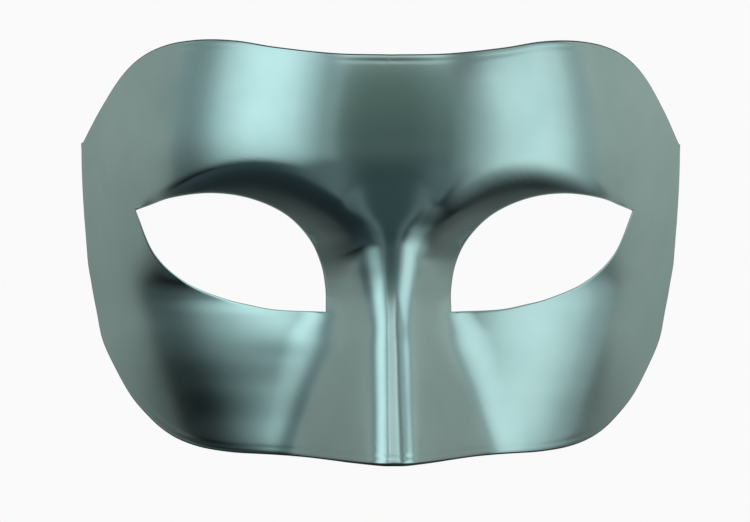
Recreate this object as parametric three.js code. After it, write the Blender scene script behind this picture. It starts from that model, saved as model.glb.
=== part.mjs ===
// A party half mask: one thin moulded shell that covers brow, cheeks and nose, with two
// almond eye openings and a straight ridge down the nose. It lies face up on its two side
// edges. X runs across the face, Y up the face to the brow, Z out of the face, in millimetres.
// The origin is on the surface it lies on, under the middle of its outline.
import * as THREE from "three";
import { mergeVertices } from "three/addons/utils/BufferGeometryUtils.js";

// Driving sizes
const WIDTH = 175; // from side edge to side edge
const HEIGHT = 114.3; // from the chin-side edge to the crests of the brow edge
const DEPTH = 82.5; // from the side edges to the tip of the nose ridge
const WALL = 1.4;
const EYE_SPACING = 87.6; // between the middles of the two openings
const EYE_RISE = -1.55; // of an opening's middle over the middle of the mask
const EYE_WIDTH = 53.2;
const EYE_HEIGHT = 32.5;
const RIDGE_WIDTH = 8; // of the flat along the nose
const RIDGE_ROUNDING = 1.7; // how softly that flat turns into the nose's sides
const BROW_FOLD = 19; // width of the turned-in band under the brow, where it is widest
const BROW_RADIUS = 7.9; // of the bend at the start of that band
const BROW_FALL = 0.68; // fall for each millimetre across, where the band is steepest

// How fine the surface is
const RAYS = 80; // round each eye opening
const RINGS = 16; // from an opening to the outline
const PUNCHED_RINGS = 4; // rings over which an opening's upright edge bears on the inner face
const OUTLINE_POINTS = 60; // on each curve of an outline
const PROBE = 0.05; // step, in millimetres, of the slopes that give the wall's direction
const FOLD_REACH = 1; // how far, in millimetres, the brow fold runs on past the opening's edge
const TABLE_SNAP = 0.02; // a side edge this near the table, in millimetres, lies on it

const HALF_WIDTH = WIDTH / 2;
const HALF_HEIGHT = HEIGHT / 2;

// Sections across the face, from the brow edge to the chin-side edge.
// up: share of the half height. side: where the form meets the table, share of the half width.
// crown: height of the head form at the middle, share of the depth.
// ridge: height of the nose ridge, share of the depth.
// flat: half width of the ridge's flat, share of the ridge width.
// fall: steepness of the nose's side, in depths for each half width.
// full: exponent of the head form's section, where 2 is a parabola and more is boxier.
// fillet: how much the nose's foot is filled where it meets the cheek, in millimetres.
const SECTIONS = [
  { up: 1.0, side: 0.977, crown: 0.738, ridge: 0.36, flat: 1.13, fall: 1.27, full: 2.226, fillet: 7.0 },
  { up: 0.79, side: 0.994, crown: 0.758, ridge: 0.48, flat: 1.13, fall: 1.27, full: 2.334, fillet: 7.0 },
  { up: 0.51, side: 1.0, crown: 0.769, ridge: 0.58, flat: 1.13, fall: 1.27, full: 2.465, fillet: 7.0 },
  { up: 0.35, side: 0.998, crown: 0.769, ridge: 0.671, flat: 1.13, fall: 1.27, full: 2.409, fillet: 7.0 },
  { up: 0.18, side: 0.992, crown: 0.744, ridge: 0.723, flat: 1.15, fall: 1.27, full: 2.327, fillet: 7.0 },
  { up: 0.08, side: 0.987, crown: 0.706, ridge: 0.74, flat: 0.75, fall: 1.28, full: 2.272, fillet: 7.0 },
  { up: 0.0, side: 0.983, crown: 0.66, ridge: 0.739, flat: 0.66, fall: 1.31, full: 2.231, fillet: 6.0 },
  { up: -0.09, side: 0.978, crown: 0.604, ridge: 0.739, flat: 0.6, fall: 1.31, full: 2.224, fillet: 6.0 },
  { up: -0.17, side: 0.969, crown: 0.561, ridge: 0.742, flat: 0.53, fall: 1.35, full: 2.306, fillet: 6.5 },
  { up: -0.25, side: 0.96, crown: 0.551, ridge: 0.751, flat: 0.47, fall: 1.4, full: 2.322, fillet: 6.0 },
  { up: -0.33, side: 0.95, crown: 0.566, ridge: 0.77, flat: 0.44, fall: 1.4, full: 2.267, fillet: 7.0 },
  { up: -0.44, side: 0.941, crown: 0.577, ridge: 0.806, flat: 0.51, fall: 1.46, full: 2.229, fillet: 10.0 },
  { up: -0.54, side: 0.93, crown: 0.579, ridge: 0.837, flat: 0.55, fall: 1.5, full: 2.232, fillet: 10.0 },
  { up: -0.68, side: 0.913, crown: 0.59, ridge: 0.884, flat: 0.58, fall: 1.56, full: 2.135, fillet: 8.8 },
  { up: -0.83, side: 0.892, crown: 0.615, ridge: 0.938, flat: 0.645, fall: 1.71, full: 1.967, fillet: 8.3 },
  { up: -1.0, side: 0.869, crown: 0.652, ridge: 1.0, flat: 0.673, fall: 1.83, full: 1.817, fillet: 8.5 },
];

// Upper edge of an eye opening, from its outer corner over the top and down the nose's side.
// across and up: shares of the opening's half width and half height from its middle.
// fold: width of the turned-in band there, share of the brow fold.
const UPPER_LID = [
  { across: 1.0, up: 0.735, fold: 0 },
  { across: 0.835, up: 0.82, fold: 0.18 },
  { across: 0.643, up: 0.92, fold: 0.2 },
  { across: 0.182, up: 1.0, fold: 0.41 },
  { across: -0.24, up: 0.895, fold: 0.584 },
  { across: -0.605, up: 0.612, fold: 0.68 },
  { across: -0.839, up: 0.206, fold: 0.7 },
  { across: -0.95, up: -0.194, fold: 0.64 },
  { across: -0.996, up: -0.6, fold: 0.42 },
  { across: -1.0, up: -1.0, fold: 0.1 },
];
// Lower edge, from the inner corner to the outer one.
const LOWER_LID = [
  { across: -1.0, up: -1.0 },
  { across: -0.466, up: -0.965 },
  { across: -0.209, up: -0.889 },
  { across: 0.052, up: -0.787 },
  { across: 0.474, up: -0.5 },
  { across: 0.793, up: -0.035 },
  { across: 1.0, up: 0.735 },
];

// Outline of the half to the viewer's right, as shares of the half width and half height.
// The brow edge runs from the middle to the corner at the temple.
const BROW_EDGE = [
  { across: 0, up: 0.902 },
  { across: 0.17, up: 0.909 },
  { across: 0.355, up: 0.946 },
  { across: 0.48, up: 0.985 },
  { across: 0.589, up: 1.0 },
  { across: 0.7, up: 0.988 },
  { across: 0.781, up: 0.944 },
  { across: 0.845, up: 0.868 },
  { across: 0.93, up: 0.694 },
  { across: 1.0, up: 0.52 },
];
// The side edge lies on the table from the temple to where the cheek edge starts.
const TEMPLE_UP = 0.52;
const CHEEK_UP = -0.315;
// The cheek edge runs on from there, under the cheek, to the foot of the ridge.
const CHEEK_EDGE = [
  { across: 0.93, up: -0.469 },
  { across: 0.884, up: -0.615 },
  { across: 0.827, up: -0.757 },
  { across: 0.768, up: -0.852 },
  { across: 0.726, up: -0.905 },
  { across: 0.673, up: -0.95 },
  { across: 0.6, up: -0.983 },
  { across: 0.5, up: -0.999 },
  { across: 0.4, up: -1.0 },
  { across: 0.2, up: -1.0 },
  { across: 0, up: -0.995 },
];

const EYE_MIDDLE = new THREE.Vector2(EYE_SPACING / 2, EYE_RISE);

// A smooth curve through the rows of one column of the sections, read at a height up the face.
function section(column, y) {
  const rows = SECTIONS;
  const up = y / HALF_HEIGHT;
  let i = rows.findIndex((row, k) => k > 0 && up >= row.up) - 1;
  if (i < 0) i = up > rows[0].up ? 0 : rows.length - 2;
  const steepness = (k) => (rows[k + 1][column] - rows[k][column]) / (rows[k + 1].up - rows[k].up);
  const tangent = (k) => {
    if (k === 0) return steepness(0);
    if (k === rows.length - 1) return steepness(k - 1);
    return (steepness(k - 1) + steepness(k)) / 2;
  };
  const gap = rows[i + 1].up - rows[i].up;
  const t = THREE.MathUtils.clamp((up - rows[i].up) / gap, 0, 1);
  const eased = t * t * (3 - 2 * t);
  const start = t * (1 - t) * (1 - t) * gap * tangent(i);
  const end = t * t * (t - 1) * gap * tangent(i + 1);
  return rows[i][column] + eased * (rows[i + 1][column] - rows[i][column]) + start + end;
}

// The larger of two heights, with the crease between them filled.
function blend(a, b, fillet) {
  const near = Math.max(fillet - Math.abs(a - b), 0) / fillet;
  return Math.max(a, b) + (near * near * fillet) / 4;
}

function smoothCurve(points) {
  return new THREE.CatmullRomCurve3(points, false, "centripetal").getPoints(OUTLINE_POINTS);
}

// Points on an eye opening's edge. Their third coordinate is the brow fold's width there.
function lid(rows) {
  return smoothCurve(
    rows.map(
      ({ across, up, fold = 0 }) =>
        new THREE.Vector3(
          EYE_MIDDLE.x + (across * EYE_WIDTH) / 2,
          EYE_MIDDLE.y + (up * EYE_HEIGHT) / 2,
          fold * BROW_FOLD,
        ),
    ),
  );
}

function edge(rows) {
  return rows.map(({ across, up }) => new THREE.Vector3(across * HALF_WIDTH, up * HALF_HEIGHT, 0));
}

// Where the side edge lies on the table.
function sideEdge() {
  return Array.from({ length: OUTLINE_POINTS + 1 }, (_, k) => {
    const y = HALF_HEIGHT * THREE.MathUtils.lerp(TEMPLE_UP, CHEEK_UP, k / OUTLINE_POINTS);
    return new THREE.Vector3(HALF_WIDTH * section("side", y), y, 0);
  });
}

const upperLid = lid(UPPER_LID);
const lowerLid = lid(LOWER_LID);
const eyeOutline = [...upperLid, ...lowerLid];
const browEdge = smoothCurve(edge(BROW_EDGE));
const side = sideEdge();
const cheekEdge = smoothCurve([side.at(-1), ...edge(CHEEK_EDGE)]);
const outline = [...browEdge, ...side, ...cheekEdge, browEdge[0]];

// How deep the brow is turned in at a point, from its distance to the opening's upper edge.
function browTurn(x, y) {
  let nearest = Infinity;
  let beside = 0;
  let width = 0;
  for (let k = 1; k < upperLid.length; k++) {
    const a = upperLid[k - 1];
    const b = upperLid[k];
    const dx = b.x - a.x;
    const dy = b.y - a.y;
    const along = ((x - a.x) * dx + (y - a.y) * dy) / (dx * dx + dy * dy);
    const t = THREE.MathUtils.clamp(along, 0, 1);
    const distance = Math.hypot(x - a.x - t * dx, y - a.y - t * dy);
    if (distance >= nearest) continue;
    nearest = distance;
    beside = Math.sign((x - a.x) * dy - (y - a.y) * dx);
    width = a.z + t * (b.z - a.z);
  }
  const outward = nearest * beside;
  if (outward > width) return 0;
  const bend = BROW_FALL * BROW_RADIUS;
  const turn = BROW_FALL * bend * Math.log(Math.cosh((width - outward) / bend));
  return turn * THREE.MathUtils.smoothstep(outward, -FOLD_REACH, 0);
}

// How far the nose's side has moved out from the flat of its ridge.
function pastRidge(x, flat) {
  const soft = (u) => RIDGE_ROUNDING * Math.log1p(Math.exp(u / RIDGE_ROUNDING));
  return soft(x - flat) + soft(-x - flat) - 2 * soft(-flat);
}

// Height of the outer face over the table.
function faceHeight(x, y) {
  const across = Math.abs(x);
  const reach = across / (HALF_WIDTH * section("side", y));
  const head = DEPTH * section("crown", y) * (1 - reach ** section("full", y));
  const fall = (section("fall", y) * DEPTH) / HALF_WIDTH;
  const flat = section("flat", y) * RIDGE_WIDTH;
  const nose = DEPTH * section("ridge", y) - fall * pastRidge(across, flat);
  return blend(head - browTurn(across, y), nose, section("fillet", y));
}

// A point of the outer face, and the point of the inner face behind it. Round the eye openings,
// where upright is 1, it lies straight under the outer one, as the openings are punched. At the
// side edges it slides up its own wall as far as the table, so the edge there is flat.
function wallAt(x, y, upright) {
  const z = faceHeight(x, y);
  const outer = new THREE.Vector3(x, y, z < TABLE_SNAP ? 0 : z);
  const slopeX = (faceHeight(x + PROBE, y) - faceHeight(x - PROBE, y)) / (2 * PROBE);
  const slopeY = (faceHeight(x, y + PROBE) - faceHeight(x, y - PROBE)) / (2 * PROBE);
  const normal = new THREE.Vector3(-slopeX, -slopeY, 1).normalize();
  const straight = new THREE.Vector3(0, 0, 1 / normal.z);
  const inner = outer.clone().addScaledVector(normal.lerp(straight, upright), -WALL);
  if (inner.z < 0) {
    const uphill = new THREE.Vector3(slopeX, slopeY, slopeX ** 2 + slopeY ** 2);
    inner.addScaledVector(uphill, -inner.z / uphill.z);
  }
  return { outer, inner };
}

// Where a ray from the middle of the eye opening crosses an outline.
function crossing(points, angle) {
  const ray = new THREE.Vector2(Math.cos(angle), Math.sin(angle));
  let farthest = 0;
  for (let k = 1; k < points.length; k++) {
    const a = points[k - 1];
    const b = points[k];
    const from = new THREE.Vector2(a.x, a.y).sub(EYE_MIDDLE);
    const step = new THREE.Vector2(b.x - a.x, b.y - a.y);
    const turn = ray.cross(step);
    if (Math.abs(turn) < 1e-12) continue;
    const share = from.cross(ray) / turn;
    const distance = from.cross(step) / turn;
    if (share > -1e-9 && share < 1 + 1e-9) farthest = Math.max(farthest, distance);
  }
  return EYE_MIDDLE.clone().addScaledVector(ray, farthest);
}

// Directions of the rays: one through each corner, and even steps between the corners.
function rayAngles() {
  const corners = [upperLid[0], upperLid.at(-1), browEdge[0], browEdge.at(-1), cheekEdge.at(-1)];
  const angles = corners
    .map((corner) => Math.atan2(corner.y - EYE_MIDDLE.y, corner.x - EYE_MIDDLE.x))
    .sort((a, b) => a - b);
  return angles.flatMap((angle, k) => {
    const next = k + 1 < angles.length ? angles[k + 1] : angles[0] + 2 * Math.PI;
    const steps = Math.max(1, Math.round((RAYS * (next - angle)) / (2 * Math.PI)));
    return Array.from({ length: steps }, (_, s) => angle + ((next - angle) * s) / steps);
  });
}

// Both faces of the wall, in rings from the eye opening out to the outline.
function wallGrid() {
  return rayAngles().map((angle) => {
    const start = crossing(eyeOutline, angle);
    const end = crossing(outline, angle);
    return Array.from({ length: RINGS + 1 }, (_, j) => {
      const at = start.clone().lerp(end, j / RINGS);
      const upright = Math.max(1 - j / PUNCHED_RINGS, 0);
      return wallAt(Math.abs(at.x) < 1e-9 ? 0 : at.x, at.y, upright);
    });
  });
}

function shellGeometry() {
  const grid = wallGrid();
  const positions = [];
  const triangle = (a, b, c) => {
    positions.push(...a, ...b, ...c);
    const flip = ({ x, y, z }) => [-x, y, z];
    positions.push(...flip(a), ...flip(c), ...flip(b));
  };
  const quad = (a, b, c, d) => {
    triangle(a, b, c);
    triangle(a, c, d);
  };
  grid.forEach((ray, i) => {
    const next = grid[(i + 1) % grid.length];
    for (let j = 0; j < RINGS; j++) {
      quad(ray[j].outer, ray[j + 1].outer, next[j + 1].outer, next[j].outer);
      quad(ray[j].inner, next[j].inner, next[j + 1].inner, ray[j + 1].inner);
    }
    quad(ray[0].outer, next[0].outer, next[0].inner, ray[0].inner);
    const end = ray[RINGS];
    const nextEnd = next[RINGS];
    const atMiddle = end.outer.x === 0 && nextEnd.outer.x === 0;
    if (!atMiddle) quad(end.outer, end.inner, nextEnd.inner, nextEnd.outer);
  });
  const soup = new THREE.BufferGeometry();
  soup.setAttribute("position", new THREE.Float32BufferAttribute(positions, 3));
  return mergeVertices(soup, 1e-4);
}

function maskShell() {
  const geometry = shellGeometry();
  geometry.computeVertexNormals();
  const material = new THREE.MeshStandardMaterial({
    color: 0x86a6a2,
    metalness: 0.85,
    roughness: 0.35,
  });
  const mesh = new THREE.Mesh(geometry, material);
  mesh.name = "mask_shell";
  return mesh;
}

const mask = new THREE.Group();
mask.add(maskShell());

export default mask;
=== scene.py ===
"""A party half mask of thin moulded plastic, sprayed in satin silver with a teal cast."""

from math import cos, pi, radians, sin

import bpy
import numpy as np
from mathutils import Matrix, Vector


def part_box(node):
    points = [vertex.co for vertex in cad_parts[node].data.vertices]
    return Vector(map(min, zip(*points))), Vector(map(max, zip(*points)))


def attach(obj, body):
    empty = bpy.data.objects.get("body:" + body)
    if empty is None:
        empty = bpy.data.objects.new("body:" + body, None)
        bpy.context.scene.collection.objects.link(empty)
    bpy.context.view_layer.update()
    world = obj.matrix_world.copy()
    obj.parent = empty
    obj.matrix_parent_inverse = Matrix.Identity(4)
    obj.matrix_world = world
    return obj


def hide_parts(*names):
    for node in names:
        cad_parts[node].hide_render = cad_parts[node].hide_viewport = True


bl_info = {
    "name": "Half mask",
    "version": (1, 0, 0),
    "blender": (4, 5, 0),
    "location": "View3D > Sidebar > Half mask",
    "description": "Builds a moulded party half mask around its packed CAD model",
    "category": "Object",
}

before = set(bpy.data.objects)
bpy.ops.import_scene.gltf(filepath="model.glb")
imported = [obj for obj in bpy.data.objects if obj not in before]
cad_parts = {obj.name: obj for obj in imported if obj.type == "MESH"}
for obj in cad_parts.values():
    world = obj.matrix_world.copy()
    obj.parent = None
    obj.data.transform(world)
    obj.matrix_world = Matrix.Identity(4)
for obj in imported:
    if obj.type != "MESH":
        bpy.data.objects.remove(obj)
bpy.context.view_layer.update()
SHELL_NODE = "mask_shell"
LOW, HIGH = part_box(SHELL_NODE)
HALF_WIDTH = HIGH[0]
HALF_HEIGHT = HIGH[1]
MM = 0.001

# Sections across the face, from the brow edge to the chin-side edge.
# up: share of the half height. side: where the form meets the table, share of the half width.
# crown and ridge: heights of the head form and of the nose ridge, shares of the depth.
# flat: half width of the ridge's flat, share of the ridge width.
# fall: steepness of the nose's side, in depths for each half width.
# full: exponent of the head form's section.
# fillet: filling where the nose meets the cheek, in millimetres.
SECTION_COLUMNS = ("up", "side", "crown", "ridge", "flat", "fall", "full", "fillet")
SECTIONS = np.array([
    (1.00, 0.977, 0.738, 0.360, 1.130, 1.270, 2.226, 7.0),
    (0.79, 0.994, 0.758, 0.480, 1.130, 1.270, 2.334, 7.0),
    (0.51, 1.000, 0.769, 0.580, 1.130, 1.270, 2.465, 7.0),
    (0.35, 0.998, 0.769, 0.671, 1.130, 1.270, 2.409, 7.0),
    (0.18, 0.992, 0.744, 0.723, 1.150, 1.270, 2.327, 7.0),
    (0.08, 0.987, 0.706, 0.740, 0.750, 1.280, 2.272, 7.0),
    (0.00, 0.983, 0.660, 0.739, 0.660, 1.310, 2.231, 6.0),
    (-0.09, 0.978, 0.604, 0.739, 0.600, 1.310, 2.224, 6.0),
    (-0.17, 0.969, 0.561, 0.742, 0.530, 1.350, 2.306, 6.5),
    (-0.25, 0.960, 0.551, 0.751, 0.470, 1.400, 2.322, 6.0),
    (-0.33, 0.950, 0.566, 0.770, 0.440, 1.400, 2.267, 7.0),
    (-0.44, 0.941, 0.577, 0.806, 0.475, 1.460, 2.229, 10.0),
    (-0.54, 0.930, 0.579, 0.837, 0.500, 1.500, 2.232, 10.0),
    (-0.68, 0.913, 0.590, 0.884, 0.520, 1.560, 2.135, 8.8),
    (-0.83, 0.892, 0.615, 0.938, 0.575, 1.710, 1.967, 8.3),
    (-1.00, 0.869, 0.652, 1.000, 0.605, 1.830, 1.817, 8.5),
])
FACE = dict(zip(SECTION_COLUMNS, SECTIONS.T))

# Upper edge of an eye opening from its outer corner over the top to its inner corner: across
# and up, shares of the half width and half height, and the brow fold's share of its width.
UPPER_LID = [
    (1.0, 0.735, 0), (0.835, 0.82, 0.18), (0.643, 0.92, 0.2), (0.182, 1.0, 0.41),
    (-0.24, 0.895, 0.584), (-0.605, 0.612, 0.68), (-0.839, 0.206, 0.7), (-0.95, -0.194, 0.64),
    (-0.996, -0.6, 0.42), (-1.0, -1.0, 0.1),
]
LOWER_LID = [
    (-1.0, -1.0, 0), (-0.466, -0.965, 0), (-0.209, -0.889, 0), (0.052, -0.787, 0),
    (0.474, -0.5, 0), (0.793, -0.035, 0), (1.0, 0.735, 0),
]
# Outline of the half to the viewer's right: across and up, shares of half width and height.
BROW_EDGE = [
    (0, 0.902), (0.17, 0.909), (0.355, 0.946), (0.48, 0.985), (0.589, 1.0), (0.7, 0.988),
    (0.781, 0.944), (0.845, 0.868), (0.93, 0.694), (1.0, 0.52),
]
TEMPLE_UP, CHEEK_UP = 0.52, -0.315
CHEEK_EDGE = [
    (0.93, -0.469), (0.884, -0.615), (0.827, -0.757), (0.768, -0.852), (0.726, -0.905),
    (0.673, -0.95), (0.6, -0.983), (0.5, -0.999), (0.4, -1.0), (0.2, -1.0),
    (0, -0.995),
]

# How fine the mesh is
RAYS = 260
RINGS = 48
CURVE_POINTS = 160
RIM_STEPS = 4
CUT_REACH = 5 * MM  # how far the upright cut of an eye opening bears on the inner face
NEAR_EDGE = (0.5, 1.0, 1.5, 2.0, 2.6, 3.3, 4.0, 4.7, 5.4, 6.2, 7.1)  # rings, mm from an edge
MIDDLE_RAYS = (0.9, 1.2, 1.5, 1.8, 2.1, 2.4, 2.8, 3.3, 3.9, 4.5, 5.1, 5.7, 6.3, 7, 8)  # mm
LEAST_TURN = 0.0015  # between two rays, in radians
SAME_PLACE = 1e-7  # metres, or share of one straight run
NEVER_ZERO = 1e-12  # keeps a division by a parallel run's turn finite
VERTEX_GRID = 1e8  # points that agree to this many parts of a metre are one vertex

# Material slots of the mesh. The second is bare plastic; on the cut edges its dark tone is painted
# shade for their shadowed side walls.
PAINTED, BARE_AND_EDGE_SHADE = 0, 1


class MaskForm(bpy.types.PropertyGroup):
    """Sizes of the moulded shell."""

    wall: bpy.props.FloatProperty(
        name="Wall", description="Thickness of the plastic", default=0.0014, unit="LENGTH")
    eye_spacing: bpy.props.FloatProperty(
        name="Eye spacing", description="Between the middles of the openings",
        default=0.0876, unit="LENGTH")
    eye_rise: bpy.props.FloatProperty(
        name="Eye rise", description="Of the openings over the middle of the mask",
        default=-0.00155, unit="LENGTH")
    eye_width: bpy.props.FloatProperty(
        name="Eye width", description="Of one opening", default=0.0532, unit="LENGTH")
    eye_height: bpy.props.FloatProperty(
        name="Eye height", description="Of one opening", default=0.0325, unit="LENGTH")
    ridge_width: bpy.props.FloatProperty(
        name="Ridge width", description="Of the flat along the nose", default=0.008,
        unit="LENGTH")
    ridge_rounding: bpy.props.FloatProperty(
        name="Ridge rounding", description="Softness of the ridge's two edges",
        default=0.0017, unit="LENGTH")
    brow_fold: bpy.props.FloatProperty(
        name="Brow fold", description="Width of the turned-in band under the brow",
        default=0.019, unit="LENGTH")
    brow_radius: bpy.props.FloatProperty(
        name="Brow radius", description="Of the bend at the start of that band",
        default=0.0079, unit="LENGTH")
    brow_fall: bpy.props.FloatProperty(
        name="Brow fall", description="Fall across the band where it is steepest",
        default=0.68, unit="NONE")
    edge_round: bpy.props.FloatProperty(
        name="Edge rounding", description="Radius worn onto the trimmed edges",
        default=0.00045, unit="LENGTH")
    edge_roll: bpy.props.FloatProperty(
        name="Edge roll", description="How far the brow and chin edges turn down",
        default=0.0003, unit="LENGTH")
    edge_groove: bpy.props.FloatProperty(
        name="Edge groove", description="Depth of the trim line just inside those edges",
        default=0.00008, unit="LENGTH")


class MaskFinish(bpy.types.PropertyGroup):
    """Colours of the paint and the bare plastic, whose dark tone on the cut edges is painted shade.
    """

    silver: bpy.props.FloatVectorProperty(
        name="Silver", description="Colour of the paint's reflections", subtype="COLOR",
        default=(0.64, 0.74, 0.72), min=0, max=1)
    silver_deep: bpy.props.FloatVectorProperty(
        name="Deep silver", description="Its slightly darker patches", subtype="COLOR",
        default=(0.56, 0.67, 0.655), min=0, max=1)
    # Also used on the cut edges, where this dark tone is painted shade for their shadowed side
    # walls
    bare: bpy.props.FloatVectorProperty(
        name="Bare plastic", description="Colour of the unpainted inside", subtype="COLOR",
        default=(0.06, 0.07, 0.07), min=0, max=1)
    gloss: bpy.props.FloatProperty(
        name="Paint roughness", description="Mean roughness of the paint", default=0.16,
        min=0, max=1)


class MaskStage(bpy.types.PropertyGroup):
    """Floor, lights and camera."""

    # Colour of the floor's glow in the mask's reflections, which is painted light
    floor: bpy.props.FloatVectorProperty(
        name="Floor", description="Colour of the floor", subtype="COLOR",
        default=(0.41, 0.485, 0.46), min=0, max=1)
    panel_left: bpy.props.FloatVectorProperty(
        name="Left panel", description="Brightness of the left soft panel", subtype="COLOR",
        default=(0.93, 1.28, 1.31), min=0, max=10)
    panel_right: bpy.props.FloatVectorProperty(
        name="Right panel", description="Brightness of the right soft panel",
        subtype="COLOR", default=(0.87, 1.16, 1.17), min=0, max=10)
    camera_distance: bpy.props.FloatProperty(
        name="Camera distance", description="From the camera to its aim", default=0.71,
        unit="LENGTH")
    camera_yaw: bpy.props.FloatProperty(
        name="Camera yaw", description="How far the camera stands to the left",
        default=radians(2.1), unit="ROTATION")
    camera_lens: bpy.props.FloatProperty(
        name="Lens", description="Focal length", default=123.4, unit="CAMERA")


# Form of the mask

def column(name, y):
    """A column of the sections at heights y up the face, read along a smooth curve."""
    up = y / HALF_HEIGHT
    at, value = FACE["up"][::-1], FACE[name][::-1]
    gap = np.diff(at)
    steep = np.diff(value) / gap
    tangent = np.concatenate([steep[:1], (steep[:-1] + steep[1:]) / 2, steep[-1:]])
    i = np.clip(np.searchsorted(at, up, side="right") - 1, 0, len(gap) - 1)
    t = np.clip((up - at[i]) / gap[i], 0, 1)
    eased = t * t * (3 - 2 * t)
    start = t * (1 - t) ** 2 * gap[i] * tangent[i]
    end = t * t * (t - 1) * gap[i] * tangent[i + 1]
    return value[i] + eased * (value[i + 1] - value[i]) + start + end


def smooth_curve(points, steps):
    """A centripetal Catmull-Rom curve through the points."""
    points = np.array(points, float)
    first = 2 * points[0] - points[1]
    last = 2 * points[-1] - points[-2]
    knots = np.vstack([first, points, last])
    out = []
    for k in np.linspace(0, len(points) - 1, steps + 1):
        i = min(int(k), len(points) - 2)
        a, b, c, d = knots[i:i + 4]
        before, along, after = (np.sqrt(np.linalg.norm(q - p)) for p, q in ((a, b), (b, c), (c, d)))
        leave = (b - a) / before - (c - a) / (before + along) + (c - b) / along
        arrive = (c - b) / along - (d - b) / (along + after) + (d - c) / after
        leave, arrive = leave * along, arrive * along
        t = k - i
        out.append(b + leave * t + (3 * (c - b) - 2 * leave - arrive) * t ** 2
                   + (2 * (b - c) + leave + arrive) * t ** 3)
    return np.array(out)


def away_from(path, x, y):
    """Distance of points from a path, its side (1 to the right of its run), and the path's
    further columns at the nearest place."""
    nearest = np.full(x.shape, np.inf)
    side = np.zeros(x.shape)
    extra = np.zeros(x.shape)
    for a, b in zip(path[:-1], path[1:]):
        dx, dy = b[0] - a[0], b[1] - a[1]
        share = np.clip(((x - a[0]) * dx + (y - a[1]) * dy) / (dx * dx + dy * dy), 0, 1)
        distance = np.hypot(x - a[0] - share * dx, y - a[1] - share * dy)
        closer = distance < nearest
        nearest = np.where(closer, distance, nearest)
        side = np.where(closer, np.sign((x - a[0]) * dy - (y - a[1]) * dx), side)
        if len(a) > 2:
            extra = np.where(closer, a[2] + share * (b[2] - a[2]), extra)
    return nearest, side, extra


def smooth_step(low, high, value):
    t = np.clip((value - low) / (high - low), 0, 1)
    return t * t * (3 - 2 * t)


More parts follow.
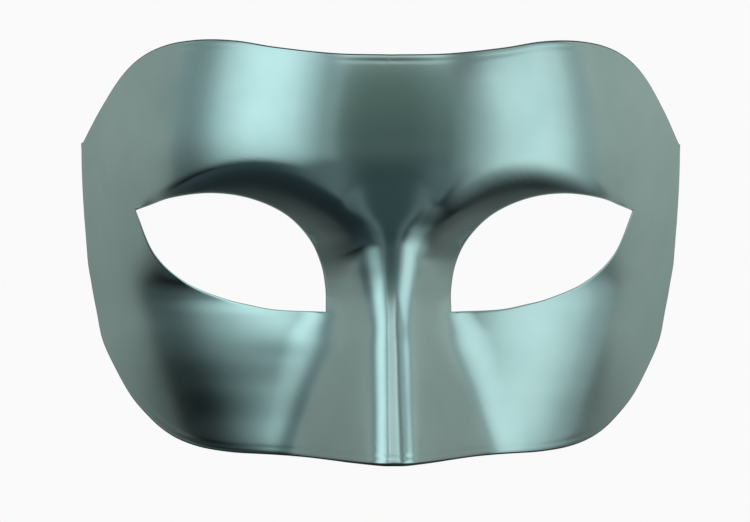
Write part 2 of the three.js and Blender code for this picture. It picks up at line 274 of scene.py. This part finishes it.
class Form:
    """The mask's outer face as a height over the table."""

    fold_reach = 1 * MM
    probe = 0.05 * MM  # half the step that slopes are taken over
    table_snap = 0.02 * MM  # lower points lie on the table
    plain_foot = 6 * MM  # the small shapes fade in over this height
    least_slope = 1e-9

    # The edges' roll and trim line: reach of the roll, distance and width of the line, in mm
    roll_reach = 0.8
    groove_inset = 1.9
    groove_width = 0.4
    groove_waves = ((0.35, 11), (0.25, 4.3))  # share of the depth, and length in mm

    # Shallow waves of the sheet
    wave_depth = 0.02 * MM
    wave_across = 9 * MM
    wave_up = 8 * MM
    wave_swing, swing_rate = 1.3, 0.7
    wave_rate, wave_start = 0.8, 0.5

    def __init__(self, size):
        self.size = size
        self.eye = np.array([size.eye_spacing / 2, size.eye_rise])
        self.upper_lid = self.lid(UPPER_LID)
        self.lower_lid = self.lid(LOWER_LID)
        half = np.array([HALF_WIDTH, HALF_HEIGHT])
        self.brow_edge = smooth_curve(np.array(BROW_EDGE) * half, CURVE_POINTS)
        side = np.linspace(TEMPLE_UP, CHEEK_UP, CURVE_POINTS + 1) * HALF_HEIGHT
        self.side_edge = np.column_stack([HALF_WIDTH * column("side", side), side])
        cheek = np.vstack([self.side_edge[-1], np.array(CHEEK_EDGE) * half])
        self.cheek_edge = smooth_curve(cheek, CURVE_POINTS)
        self.depth = HIGH[2] / float(column("ridge", np.array([self.cheek_edge[-1][1]]))[0])

    def lid(self, rows):
        """The curve of one lid, with the brow fold's width as a third column."""
        size = self.size
        across, up, fold = np.array(rows, float).T
        points = [self.eye[0] + across * size.eye_width / 2,
                  self.eye[1] + up * size.eye_height / 2,
                  fold * size.brow_fold]
        return smooth_curve(np.column_stack(points), CURVE_POINTS)

    def brow_turn(self, x, y):
        """How far the band over an eye opening is turned in."""
        distance, side, width = away_from(self.upper_lid, x, y)
        outward = distance * side
        fall = self.size.brow_fall
        bend = fall * self.size.brow_radius
        turn = fall * bend * np.log(np.cosh(np.maximum(width - outward, 0) / bend))
        return turn * smooth_step(-self.fold_reach, 0, outward)

    def past_ridge(self, x, flat):
        """Distance beyond the ridge's flat, rounded where it starts."""
        soft = self.size.ridge_rounding

        def rise(u):
            return soft * np.logaddexp(0, u / soft)

        return rise(x - flat) + rise(-x - flat) - 2 * rise(-flat)

    def edge_shape(self, x, y):
        """The roll and the trim line along the brow and chin edges."""
        drop = np.zeros(x.shape)
        wave = np.ones(x.shape)
        for share, length in self.groove_waves:
            wave += share * np.cos(x / (length * MM))
        for path in (self.brow_edge, self.cheek_edge):
            distance = away_from(path, x, y)[0] / MM
            drop += self.size.edge_roll * np.exp(-distance / self.roll_reach)
            groove = np.exp(-((distance - self.groove_inset) / self.groove_width) ** 2)
            drop += self.size.edge_groove * groove * wave
        return drop

    def unevenness(self, x, y):
        """Shallow waves that the hot sheet keeps from its mould."""
        u, v = x / self.wave_across, y / self.wave_up
        bent = u + self.wave_swing * np.sin(self.swing_rate * v)
        return self.wave_depth * np.sin(bent) * np.cos(self.wave_rate * v + self.wave_start)

    def height(self, x, y):
        """Height of the moulded form alone."""
        across = np.abs(x)
        reach = across / (HALF_WIDTH * column("side", y))
        head = self.depth * column("crown", y) * (1 - reach ** column("full", y))
        fall = column("fall", y) * self.depth / HALF_WIDTH
        flat = column("flat", y) * self.size.ridge_width
        nose = self.depth * column("ridge", y) - fall * self.past_ridge(across, flat)
        head = head - self.brow_turn(across, y)
        fillet = column("fillet", y) * MM
        near = np.maximum(fillet - np.abs(head - nose), 0) / fillet
        return np.maximum(head, nose) + near * near * fillet / 4

    def detailed(self, x, y):
        """Height with the small shapes of the edges and of the sheet."""
        z = self.height(x, y)
        share = smooth_step(0, self.plain_foot, z)
        return z - share * (self.edge_shape(np.abs(x), y) + self.unevenness(x, y))

    def wall(self, x, y, upright=0):
        """Outer point, inner point and unit normal of the wall at each place. Where upright
        is 1, the inner point lies straight under the outer one."""
        step = self.probe
        z = self.detailed(x, y)
        z = np.where(z < self.table_snap, 0, z)
        slope_x = (self.detailed(x + step, y) - self.detailed(x - step, y)) / (2 * step)
        slope_y = (self.detailed(x, y + step) - self.detailed(x, y - step)) / (2 * step)
        normal = np.stack([-slope_x, -slope_y, np.ones_like(x)], -1)
        normal /= np.linalg.norm(normal, axis=-1, keepdims=True)
        outer = np.stack([x, y, z], -1)
        upright = np.broadcast_to(upright, x.shape)[..., None]
        straight = np.array([0, 0, 1]) / normal[..., 2:]
        inner = outer - self.size.wall * (normal + upright * (straight - normal))
        uphill = np.stack([slope_x, slope_y, slope_x ** 2 + slope_y ** 2], -1)
        slide = np.maximum(-inner[..., 2], 0) / np.maximum(uphill[..., 2], self.least_slope)
        return outer, inner + uphill * slide[..., None], normal


def ray_crossing(path, middle, angle):
    """Farthest crossing of a path with the ray from a middle, and the path's run there."""
    ray = np.array([cos(angle), sin(angle)])
    start = path[:-1] - middle
    run = path[1:] - path[:-1]
    turn = ray[0] * run[:, 1] - ray[1] * run[:, 0]
    turn = np.where(np.abs(turn) < NEVER_ZERO, NEVER_ZERO, turn)
    share = (start[:, 0] * ray[1] - start[:, 1] * ray[0]) / turn
    distance = (start[:, 0] * run[:, 1] - start[:, 1] * run[:, 0]) / turn
    met = (share > -SAME_PLACE) & (share < 1 + SAME_PLACE)
    k = int(np.argmax(np.where(met, distance, -1)))
    return middle + ray * distance[k], run[k] / np.linalg.norm(run[k])


def ray_angles(form):
    """One ray through each corner of the outlines, even steps between the corners, and close
    rays where the brow edge and the ridge's foot meet the middle."""
    brow, foot = form.brow_edge[0], form.cheek_edge[-1]
    ends = [form.upper_lid[0], form.upper_lid[-1], brow, form.brow_edge[-1], foot]
    corners = sorted(np.arctan2(e[1] - form.eye[1], e[0] - form.eye[0]) for e in ends)
    angles = []
    for start, end in zip(corners, corners[1:] + [corners[0] + 2 * pi]):
        steps = max(1, round(RAYS * (end - start) / (2 * pi)))
        angles += list(start + (end - start) * np.arange(1, steps) / steps)
    for reach in np.array(MIDDLE_RAYS) * MM:
        for x, y in ((0, brow[1] - reach), (0, foot[1] + reach), (reach, foot[1])):
            angle = np.arctan2(y - form.eye[1], x - form.eye[0])
            angles.append(angle + (2 * pi if angle < corners[0] else 0))
    kept = list(corners)
    for angle in sorted(angles):
        if min(abs(angle - other) for other in kept) > LEAST_TURN:
            kept.append(angle)
    return sorted(kept)


def ring_shares(length):
    """Where the rings lie between an opening and the outline: close together at both edges."""
    near = np.array(NEAR_EDGE) * MM / length
    middle = np.linspace(near[-1], 1 - near[-1], RINGS - 2 * len(NEAR_EDGE) + 1)
    return np.concatenate([[0], near[:-1], middle, 1 - near[-2::-1], [1]])


def left_of(run):
    """The level direction to the left of a run."""
    return np.array([-run[1], run[0]])


class ShellMesh:
    """The right half of the shell as rows of points, mirrored into one closed mesh."""

    def __init__(self, form):
        self.form = form
        self.round = form.size.edge_round
        angles = ray_angles(form)
        starts, into_eye = self.eye_ends(angles)
        ends, off_edge, self.rimmed = self.edge_ends(angles)
        self.eye_rim = self.rim(starts, into_eye, 1)
        self.edge_rim = self.rim(ends, off_edge, 0)
        inset_start = self.eye_rim[:, 0, :2]
        inset_end = np.where(self.rimmed[:, None], self.edge_rim[:, 0, :2], ends)
        lengths = [np.linalg.norm(end - start) for start, end in zip(inset_start, inset_end)]
        shares = np.array([ring_shares(length) for length in lengths])
        places = inset_start[:, None] + (inset_end - inset_start)[:, None] * shares[..., None]
        reach = np.linalg.norm(places - places[:, :1], axis=-1)
        upright = 1 - smooth_step(0, CUT_REACH, reach)
        self.outer, self.inner, _ = form.wall(places[..., 0], places[..., 1], upright)
        self.eye_rim[:, 0], self.eye_rim[:, -1] = self.outer[:, 0], self.inner[:, 0]
        self.edge_rim[:, 0], self.edge_rim[:, -1] = self.outer[:, -1], self.inner[:, -1]

    def eye_ends(self, angles):
        """Where each ray leaves the opening, and the level direction into it there."""
        form = self.form
        eye = np.vstack([form.upper_lid[:, :2], form.lower_lid[:, :2]])
        met = [ray_crossing(eye, form.eye, angle) for angle in angles]
        return np.array([place for place, _ in met]), np.array([left_of(run) for _, run in met])

    def edge_ends(self, angles):
        """Where each ray meets the outline or the middle line, the level direction off the
        edge there, and whether there is an edge."""
        form = self.form
        shore = np.vstack([form.brow_edge, form.side_edge, form.cheek_edge, form.brow_edge[:1]])
        corners_up = (form.brow_edge[0][1], form.cheek_edge[-1][1])
        places, off_edge, rimmed = [], [], []
        for angle in angles:
            place, run = ray_crossing(shore, form.eye, angle)
            middle = abs(place[0]) < SAME_PLACE
            corner = middle and min(abs(place[1] - up) for up in corners_up) < SAME_PLACE
            if middle:
                place = np.array([0.0, place[1]])
            places.append(place)
            off_edge.append(np.array([0, np.sign(place[1])]) if corner else left_of(run))
            rimmed.append(corner or not middle)
        return np.array(places), np.array(off_edge), np.array(rimmed)

    def rim(self, places, away, upright):
        """Points over a trimmed edge from the outer face to the inner, with rounded corners.
        away is the level direction off the edge at each place."""
        form = self.form
        x, y = places.T
        outer, inner, normal = form.wall(x, y, upright)
        tangent = np.column_stack([away, np.zeros(len(away))])
        tangent -= normal * np.sum(tangent * normal, axis=1, keepdims=True)
        tangent /= np.linalg.norm(tangent, axis=1, keepdims=True)
        level = places - self.round * tangent[:, :2]
        top, bottom, _ = form.wall(level[:, 0], level[:, 1], upright)
        across = inner - outer
        across /= np.linalg.norm(across, axis=1, keepdims=True)
        rows = []
        for corner, start, end in ((outer, top, outer + across * self.round),
                                   (inner, inner - across * self.round, bottom)):
            for t in np.linspace(0, 1, RIM_STEPS + 1):
                rows.append((1 - t) ** 2 * start + 2 * t * (1 - t) * corner + t * t * end)
        return np.stack(rows, 1)

    def build(self, name):
        """Joins the rows of both halves into one mesh."""
        verts, faces, finish = [], [], []
        index = {}

        def vertex(point, mirror):
            x = -point[0] if mirror else point[0]
            key = tuple(round(value * VERTEX_GRID) for value in (x, point[1], point[2]))
            if key not in index:
                index[key] = len(verts)
                verts.append((x, point[1], point[2]))
            return index[key]

        def face(points, slot):
            for mirror in (False, True):
                ring = list(dict.fromkeys(vertex(p, mirror) for p in points))
                if len(ring) < 3:
                    continue
                faces.append(ring[::-1] if mirror else ring)
                finish.append(slot)

        def quad(rows, i, j, k, slot, flipped=False):
            first, *others = rows[i, k], rows[i, k + 1], rows[j, k + 1], rows[j, k]
            face((first, *(others[::-1] if flipped else others)), slot)

        rays = len(self.outer)
        for i in range(rays):
            j = (i + 1) % rays
            for k in range(self.outer.shape[1] - 1):
                quad(self.outer, i, j, k, PAINTED)
                quad(self.inner, i, j, k, BARE_AND_EDGE_SHADE, flipped=True)
            # The trimmed outline edges and the inner corners of the eye rims take the bare plastic,
            # whose dark tone there is painted shade
            for k in range(self.eye_rim.shape[1] - 1):
                quad(self.eye_rim, i, j, k, PAINTED if k <= RIM_STEPS else BARE_AND_EDGE_SHADE, flipped=True)
                if self.rimmed[i] and self.rimmed[j]:
                    quad(self.edge_rim, i, j, k, BARE_AND_EDGE_SHADE)
        mesh = bpy.data.meshes.new(name)
        mesh.from_pydata(verts, [], faces)
        mesh.polygons.foreach_set("material_index", finish)
        mesh.polygons.foreach_set("use_smooth", [True] * len(faces))
        mesh.update()
        return mesh


# Finishes

MIX_SHARE, MIX_FIRST, MIX_SECOND, MIX_RESULT = 0, 6, 7, 2  # colour sockets of a Mix node

# Noises of the shared grain: output, input, scale and detail
GRAIN = (("Specks", "Speck Scale", 2600.0, 2.0), ("Blotches", "Blotch Scale", 45.0, 4.0))
BLOTCH_SPAN = (0.3, 0.7)  # values of the blotches that the two shades stand for

# Paint outside
PAINT_BUMP = (0.12, 0.00004)  # strength, and depth in metres
ROUGHNESS_SPREAD = 0.03

# Bare plastic inside and on the cut edges; on the cut edges its dark tone is painted shade for
# their shadowed side walls
BARE_BUMP = (0.3, 0.0001)
BARE_SPECK_SCALE = 1400
BARE_ROUGHNESS = 0.5
DULL_SHARE = 0.8  # of its darker patches


def new_material(name):
    """An empty material, its tree and its surface socket."""
    material = bpy.data.materials.new(name)
    material.use_nodes = True
    tree = material.node_tree
    tree.nodes.clear()
    return material, tree, tree.nodes.new("ShaderNodeOutputMaterial").inputs["Surface"]


def grain_group():
    """Shared fine grain: spray specks and slow blotches over the moulded plastic."""
    name = "mask_grain"
    if name in bpy.data.node_groups:
        return bpy.data.node_groups[name]
    tree = bpy.data.node_groups.new(name, "ShaderNodeTree")
    sockets = tree.interface
    kind = "NodeSocketFloat"
    for _, given, scale, _ in GRAIN:
        socket = sockets.new_socket(given, in_out="INPUT", socket_type=kind)
        socket.default_value = scale
    for result, *_ in GRAIN:
        sockets.new_socket(result, in_out="OUTPUT", socket_type=kind)
    group_in = tree.nodes.new("NodeGroupInput")
    group_out = tree.nodes.new("NodeGroupOutput")
    place = tree.nodes.new("ShaderNodeTexCoord")
    for result, given, _, detail in GRAIN:
        noise = tree.nodes.new("ShaderNodeTexNoise")
        noise.inputs["Detail"].default_value = detail
        tree.links.new(place.outputs["Object"], noise.inputs["Vector"])
        tree.links.new(group_in.outputs[given], noise.inputs["Scale"])
        tree.links.new(noise.outputs["Fac"], group_out.inputs[result])
    return tree


def map_range(tree, source, low, high, to_low, to_high):
    """The source rescaled from one span to another."""
    node = tree.nodes.new("ShaderNodeMapRange")
    for label, value in (("From Min", low), ("From Max", high), ("To Min", to_low),
                         ("To Max", to_high)):
        node.inputs[label].default_value = value
    tree.links.new(source, node.inputs["Value"])
    return node.outputs["Result"]


def mix_colour(tree, share, first, second):
    """A blend of two fixed colours."""
    node = tree.nodes.new("ShaderNodeMix")
    node.data_type = "RGBA"
    node.inputs[MIX_FIRST].default_value = (*first, 1)
    node.inputs[MIX_SECOND].default_value = (*second, 1)
    tree.links.new(share, node.inputs[MIX_SHARE])
    return node.outputs[MIX_RESULT]


def grained_material(name, dark, light, bump_strength, bump_depth):
    """A material with blotches between two colours and a speckled bump; gives its tree, its
    shader and its grain as well."""
    material, tree, surface = new_material(name)
    shader = tree.nodes.new("ShaderNodeBsdfPrincipled")
    tree.links.new(shader.outputs["BSDF"], surface)
    grain = tree.nodes.new("ShaderNodeGroup")
    grain.node_tree = grain_group()
    shade = map_range(tree, grain.outputs["Blotches"], *BLOTCH_SPAN, 0, 1)
    tree.links.new(mix_colour(tree, shade, dark, light), shader.inputs["Base Color"])
    bump = tree.nodes.new("ShaderNodeBump")
    bump.inputs["Strength"].default_value = bump_strength
    bump.inputs["Distance"].default_value = bump_depth
    tree.links.new(grain.outputs["Specks"], bump.inputs["Height"])
    tree.links.new(bump.outputs["Normal"], shader.inputs["Normal"])
    return material, tree, shader, grain


def silver_paint(finish):
    material, tree, shader, grain = grained_material(
        "silver_paint", finish.silver_deep, finish.silver, *PAINT_BUMP)
    rough = map_range(tree, grain.outputs["Blotches"], *BLOTCH_SPAN,
                      finish.gloss + ROUGHNESS_SPREAD, finish.gloss - ROUGHNESS_SPREAD)
    tree.links.new(rough, shader.inputs["Roughness"])
    shader.inputs["Metallic"].default_value = 1.0
    return material


# Bare plastic for the inside; on the cut edges its dark tone is painted shade
def bare_plastic_edge_shade(finish):
    dull = [DULL_SHARE * value for value in finish.bare]
    material, _, shader, grain = grained_material("bare_plastic_edge_shade", dull, finish.bare, *BARE_BUMP)
    grain.inputs["Speck Scale"].default_value = BARE_SPECK_SCALE
    shader.inputs["Roughness"].default_value = BARE_ROUGHNESS
    return material


class MASK_OT_shell(bpy.types.Operator):
    """Builds the moulded shell with its eye openings, painted outside and bare inside; the dark
    bare plastic on the cut edges is painted shade
    """

    bl_idname = "mask.shell"
    bl_label = "Build shell"

    def execute(self, context):
        scene = context.scene
        mesh = ShellMesh(Form(scene.mask_form)).build("painted_shell")
        shell = bpy.data.objects.new("painted_shell", mesh)
        scene.collection.objects.link(shell)
        mesh.materials.append(silver_paint(scene.mask_finish))
        mesh.materials.append(bare_plastic_edge_shade(scene.mask_finish))
        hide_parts(SHELL_NODE)
        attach(shell, "root")
        return {"FINISHED"}


# Stage

FLOOR_HALF = 4.0  # metres
FLOOR_WHITE = (0.955, 0.955, 0.955, 1)
# The floor glows in the mask's reflections instead of being lit: painted light, dimmer towards the
# chin side and the left as painted shade. How bright it looks there, along X and Y in metres, as
# shares of its colour
FLOOR_ACROSS = [(-0.6, 0.82), (-0.1, 0.9), (0.1, 1.05), (0.6, 1.1)]
FLOOR_ALONG = [(-0.6, 0.13), (-0.25, 0.19), (-0.1, 0.31), (-0.02, 0.74), (0.06, 0.9), (0.3, 1)]

PANEL_X = 0.6  # metres to each side
PANEL_FOOT = 0.002  # metres over the floor
# Brightness of the soft panels along Y and up Z, in metres, as shares of their colour
LEFT_ALONG = [(-0.225, 0), (0.18, 1), (1.5, 1), (2.0, 0)]
RIGHT_ALONG = [(-0.76, 0), (0.02, 1), (0.25, 1), (0.5, 0.5), (1.3, 0.36), (1.7, 0)]
LEFT_UP = [
    (0, 0.3), (0.05, 0.25), (0.08, 0.235), (0.12, 0.27), (0.155, 0.36), (0.2, 0.51), (0.24, 0.64),
    (0.29, 0.74), (0.34, 0.82), (0.42, 0.88), (0.52, 0.89), (0.66, 0.86), (0.87, 0.755),
    (1.05, 0.588), (1.27, 0.466), (1.6, 0.285), (2.1, 0.2), (2.7, 0),
]
RIGHT_UP = [
    (0, 0.35), (0.03, 0.36), (0.065, 0.43), (0.133, 0.7), (0.215, 0.83), (0.26, 0.85),
    (0.315, 0.86), (0.37, 0.85), (0.43, 0.83), (0.5, 0.816), (0.58, 0.756), (0.68, 0.631),
    (0.81, 0.484), (0.96, 0.378), (1.17, 0.192), (1.6, 0),
]
# The panels thin out towards their ends, so that the room shows through with no dark border
CLEAR_END = 0.2  # metres along Y, at the chin side
CLEAR_RISE = [(0.12, 0), (0.36, 1)]  # the chin side thins out only above this height, in metres
CLEAR_TOP = 0.5  # share of the height where the top starts to thin out

# Colour of the room along Y, from -1 straight towards the chin side to 1 towards the brow side
ROOM = [
    (-1.0, (0.014, 0.02, 0.024)),
    (-0.75, (0.016, 0.024, 0.028)),
    (-0.5, (0.034, 0.056, 0.064)),
    (-0.2, (0.042, 0.07, 0.074)),
    (0.0, (0.056, 0.088, 0.086)),
    (0.12, (0.085, 0.13, 0.12)),
    (0.25, (0.13, 0.19, 0.17)),
    (0.45, (0.3, 0.37, 0.36)),
    (0.7, (0.57, 0.72, 0.73)),
    (1.0, (0.65, 0.8, 0.8)),
]
# Soft glow to both sides of straight up: its shares along X and along Y, and its colour
GLOW_ACROSS = [
    (-0.75, 0), (-0.5, 0.6), (-0.25, 1), (-0.06, 0), (0.1, 0), (0.3, 0.9), (0.5, 0.6), (0.75, 0),
]
GLOW_ALONG = [
    (-0.65, 0), (-0.45, 0.4), (-0.2, 0.4), (0.1, 0.2), (0.3, 0.25), (0.5, 0.8), (0.8, 1),
]
GLOW = (0.2, 0.26, 0.27)

CAMERA_AIM = (-0.0035, -0.0039, 0.04)
SENSOR_WIDTH = 36  # millimetres


def tone(tree, source, stops, interpolation="EASE"):
    """A share or a colour read from a table of places along one coordinate."""
    low, high = stops[0][0], stops[-1][0]
    ramp = tree.nodes.new("ShaderNodeValToRGB")
    ramp.color_ramp.interpolation = interpolation
    tree.links.new(map_range(tree, source, low, high, 0, 1), ramp.inputs["Fac"])
    elements = ramp.color_ramp.elements
    while len(elements) < len(stops):
        elements.new(0.5)
    for element, (place, value) in zip(elements, stops):
        element.position = (place - low) / (high - low)
        colour = value if isinstance(value, tuple) else (value, value, value)
        element.color = (*colour, 1)
    return ramp.outputs["Color"]


def blend(tree, kind, first, second):
    """Two colours or shares put together in full."""
    node = tree.nodes.new("ShaderNodeMix")
    node.data_type = "RGBA"
    node.blend_type = kind
    node.inputs[MIX_SHARE].default_value = 1
    tree.links.new(first, node.inputs[MIX_FIRST])
    tree.links.new(second, node.inputs[MIX_SECOND])
    return node.outputs[MIX_RESULT]


def tinted(tree, share, colour):
    """A colour dimmed to a share of itself."""
    tint = tree.nodes.new("ShaderNodeRGB")
    tint.outputs[0].default_value = (*colour, 1)
    return blend(tree, "MULTIPLY", share, tint.outputs[0])


def place_axes(tree, kind="Object"):
    place = tree.nodes.new("ShaderNodeTexCoord")
    split = tree.nodes.new("ShaderNodeSeparateXYZ")
    tree.links.new(place.outputs[kind], split.inputs["Vector"])
    return split.outputs


def emission(tree, share, colour):
    glow = tree.nodes.new("ShaderNodeEmission")
    tree.links.new(tinted(tree, share, colour), glow.inputs["Color"])
    return glow.outputs["Emission"]


def floor_material(colour):
    """White to the camera, and a dimmer grey glow in the mask's reflections: painted light in place
    of a lit floor.
    """
    material, tree, surface = new_material("pale_floor")
    axes = place_axes(tree)
    shade = blend(tree, "MULTIPLY", tone(tree, axes["X"], FLOOR_ACROSS),
                  tone(tree, axes["Y"], FLOOR_ALONG))
    white = tree.nodes.new("ShaderNodeEmission")
    white.inputs["Color"].default_value = FLOOR_WHITE
    path = tree.nodes.new("ShaderNodeLightPath")
    seen = tree.nodes.new("ShaderNodeMixShader")
    tree.links.new(path.outputs["Is Camera Ray"], seen.inputs[0])
    tree.links.new(emission(tree, shade, colour), seen.inputs[1])
    tree.links.new(white.outputs["Emission"], seen.inputs[2])
    tree.links.new(seen.outputs["Shader"], surface)
    return material


def panel_material(name, colour, along, up):
    """Light that thins out towards the chin side end and the top."""
    material, tree, surface = new_material(name)
    axes = place_axes(tree)
    shape = blend(tree, "MULTIPLY", tone(tree, axes["Y"], along), tone(tree, axes["Z"], up))
    low, top = along[0][0], up[-1][0]
    chin_side = blend(tree, "MULTIPLY",
                      tone(tree, axes["Y"], [(low, 1), (low + CLEAR_END, 0)]),
                      tone(tree, axes["Z"], CLEAR_RISE))
    thin = tree.nodes.new("ShaderNodeMath")
    thin.operation = "MAXIMUM"
    tree.links.new(chin_side, thin.inputs[0])
    tree.links.new(tone(tree, axes["Z"], [(top * CLEAR_TOP, 0), (top, 1)]), thin.inputs[1])
    clear = tree.nodes.new("ShaderNodeBsdfTransparent")
    tree.links.new(thin.outputs[0], clear.inputs["Color"])
    both = tree.nodes.new("ShaderNodeAddShader")
    tree.links.new(emission(tree, shape, colour), both.inputs[0])
    tree.links.new(clear.outputs["BSDF"], both.inputs[1])
    tree.links.new(both.outputs["Shader"], surface)
    return material


def add_plane(name, corners, material):
    mesh = bpy.data.meshes.new(name)
    mesh.from_pydata(corners, [], [(0, 1, 2, 3)])
    mesh.materials.append(material)
    plane = bpy.data.objects.new(name, mesh)
    bpy.context.scene.collection.objects.link(plane)
    return plane


def add_floor(colour):
    half = FLOOR_HALF
    corners = [(-half, -half, 0), (half, -half, 0), (half, half, 0), (-half, half, 0)]
    add_plane("floor", corners, floor_material(colour))


def add_panel(name, x, colour, along, up):
    """A soft upright panel beside the mask, unseen by the camera itself."""
    low, high = along[0][0], along[-1][0]
    foot, top = PANEL_FOOT, up[-1][0]
    corners = [(x, low, foot), (x, high, foot), (x, high, top), (x, low, top)]
    panel = add_plane(name, corners, panel_material(name, colour, along, up))
    panel.visible_camera = False


def dim_room():
    """A dim room that grows brighter towards the brow side, with a soft glow overhead."""
    world = bpy.data.worlds.new("room")
    bpy.context.scene.world = world
    world.use_nodes = True
    tree = world.node_tree
    tree.nodes.clear()
    axes = place_axes(tree, "Generated")
    shares = blend(tree, "MULTIPLY", tone(tree, axes["X"], GLOW_ACROSS),
                   tone(tree, axes["Y"], GLOW_ALONG))
    colour = blend(tree, "ADD", tone(tree, axes["Y"], ROOM, "LINEAR"),
                   tinted(tree, shares, GLOW))
    background = tree.nodes.new("ShaderNodeBackground")
    tree.links.new(colour, background.inputs["Color"])
    output = tree.nodes.new("ShaderNodeOutputWorld")
    tree.links.new(background.outputs["Background"], output.inputs["Surface"])


def add_camera(stage):
    """The camera looks almost straight down on the mask, from a little to its left."""
    back = Vector((-sin(stage.camera_yaw), 0, cos(stage.camera_yaw)))
    data = bpy.data.cameras.new("camera")
    data.lens = stage.camera_lens
    data.sensor_width = SENSOR_WIDTH
    camera = bpy.data.objects.new("camera", data)
    camera.location = Vector(CAMERA_AIM) + back * stage.camera_distance
    camera.rotation_euler = (0, -stage.camera_yaw, 0)
    bpy.context.scene.collection.objects.link(camera)
    bpy.context.scene.camera = camera


class MASK_OT_stage(bpy.types.Operator):
    """Adds the floor, the two soft panels, the dim room and the camera"""

    bl_idname = "mask.stage"
    bl_label = "Build stage"

    def execute(self, context):
        scene = context.scene
        stage = scene.mask_stage
        scene.view_settings.view_transform = "Standard"
        add_floor(stage.floor)
        add_panel("panel_left", -PANEL_X, stage.panel_left, LEFT_ALONG, LEFT_UP)
        add_panel("panel_right", PANEL_X, stage.panel_right, RIGHT_ALONG, RIGHT_UP)
        dim_room()
        add_camera(stage)
        return {"FINISHED"}


class MASK_PT_panel(bpy.types.Panel):
    """Lists the sizes, colours and steps"""

    bl_label = "Half mask"
    bl_idname = "MASK_PT_panel"
    bl_space_type = "VIEW_3D"
    bl_region_type = "UI"
    bl_category = "Half mask"

    def draw(self, context):
        scene = context.scene
        for group in (scene.mask_form, scene.mask_finish, scene.mask_stage):
            box = self.layout.box()
            for name in group.bl_rna.properties.keys():
                if name not in ("rna_type", "name"):
                    box.prop(group, name)
        for step in STEPS:
            self.layout.operator(step.bl_idname)


STEPS = (MASK_OT_stage, MASK_OT_shell)
CLASSES = (MaskForm, MaskFinish, MaskStage, *STEPS, MASK_PT_panel)


def register():
    for cls in CLASSES:
        bpy.utils.register_class(cls)
    bpy.types.Scene.mask_form = bpy.props.PointerProperty(type=MaskForm)
    bpy.types.Scene.mask_finish = bpy.props.PointerProperty(type=MaskFinish)
    bpy.types.Scene.mask_stage = bpy.props.PointerProperty(type=MaskStage)


def unregister():
    for name in ("mask_form", "mask_finish", "mask_stage"):
        delattr(bpy.types.Scene, name)
    for cls in reversed(CLASSES):
        bpy.utils.unregister_class(cls)


def main():
    register()
    bpy.ops.mask.stage()
    bpy.ops.mask.shell()


if __name__ == "__main__":
    main()
